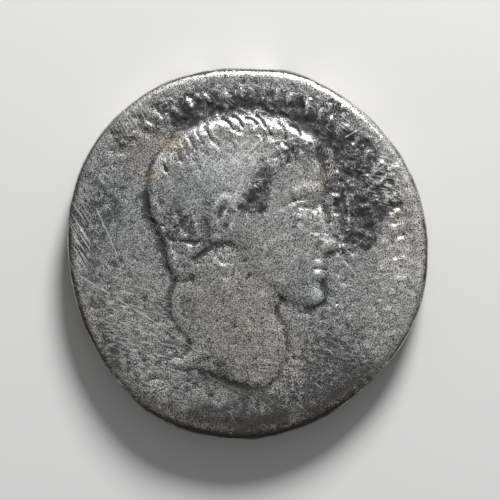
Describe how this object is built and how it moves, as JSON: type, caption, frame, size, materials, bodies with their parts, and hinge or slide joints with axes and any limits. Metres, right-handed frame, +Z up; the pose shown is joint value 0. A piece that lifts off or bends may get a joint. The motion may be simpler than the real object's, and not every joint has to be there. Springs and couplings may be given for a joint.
{
  "type": "ancient coin",
  "caption": "Worn ancient coin lying flat: an uneven round flan of dark silver alloy with a bust in profile inside a ring of worn strokes, and a standing eagle on the sunk underside.",
  "frame": {"origin": "middle of the bounding box at its base, on the plane of the flat rim that the coin rests on", "axes": "+Z up, out of the portrait side; +X the way the bust faces; +Y towards the crown of its head"},
  "size_m": [0.026, 0.0268, 0.0036],
  "materials": {
    "dark_silver": "satin"
  },
  "bodies": {
    "root": {"coin": "dark_silver"}
  },
  "joints": []
}
